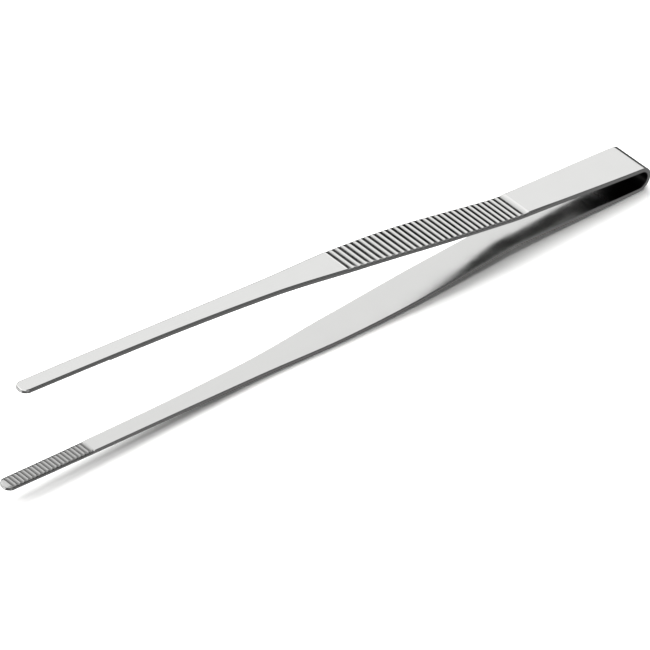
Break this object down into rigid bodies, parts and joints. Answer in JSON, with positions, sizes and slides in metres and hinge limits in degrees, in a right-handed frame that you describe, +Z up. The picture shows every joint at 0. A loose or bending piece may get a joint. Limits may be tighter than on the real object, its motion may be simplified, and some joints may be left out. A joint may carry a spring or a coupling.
{
  "type": "print tongs",
  "caption": "Sprung steel tongs for lifting photographic prints: a strip folded into a U with long mirrored arms, ribbed finger grips and toothed, rounded tips.",
  "frame": {"origin": "on the surface that the tongs lie on, under the centre of their bounding box", "axes": "+X from the tips towards the bend, +Y across the strip, +Z up"},
  "size_m": [0.2112, 0.011, 0.0342],
  "materials": {
    "stainless_strip": "polished"
  },
  "bodies": {
    "bend": {"spring_bend": "stainless_strip"},
    "upper_arm": {"upper_arm": "stainless_strip"},
    "lower_arm": {"lower_arm": "stainless_strip"}
  },
  "joints": [
    {"name": "upper_arm_flex", "type": "hinge", "parent": "bend", "child": "upper_arm", "pos_m": [0.08026, 0, 0.00889], "axis": [0, -1, 0], "range_deg": [0, 4.1], "stiffness_Nm_per_rad": 6},
    {"name": "lower_arm_flex", "type": "hinge", "parent": "bend", "child": "lower_arm", "pos_m": [0.0797, 0, 0.0017], "axis": [0, -1, 0], "range_deg": [-4.1, 0], "stiffness_Nm_per_rad": 6}
  ],
  "couplings": [
    {"joint": "lower_arm_flex", "follows": "upper_arm_flex", "ratio": -1}
  ]
}
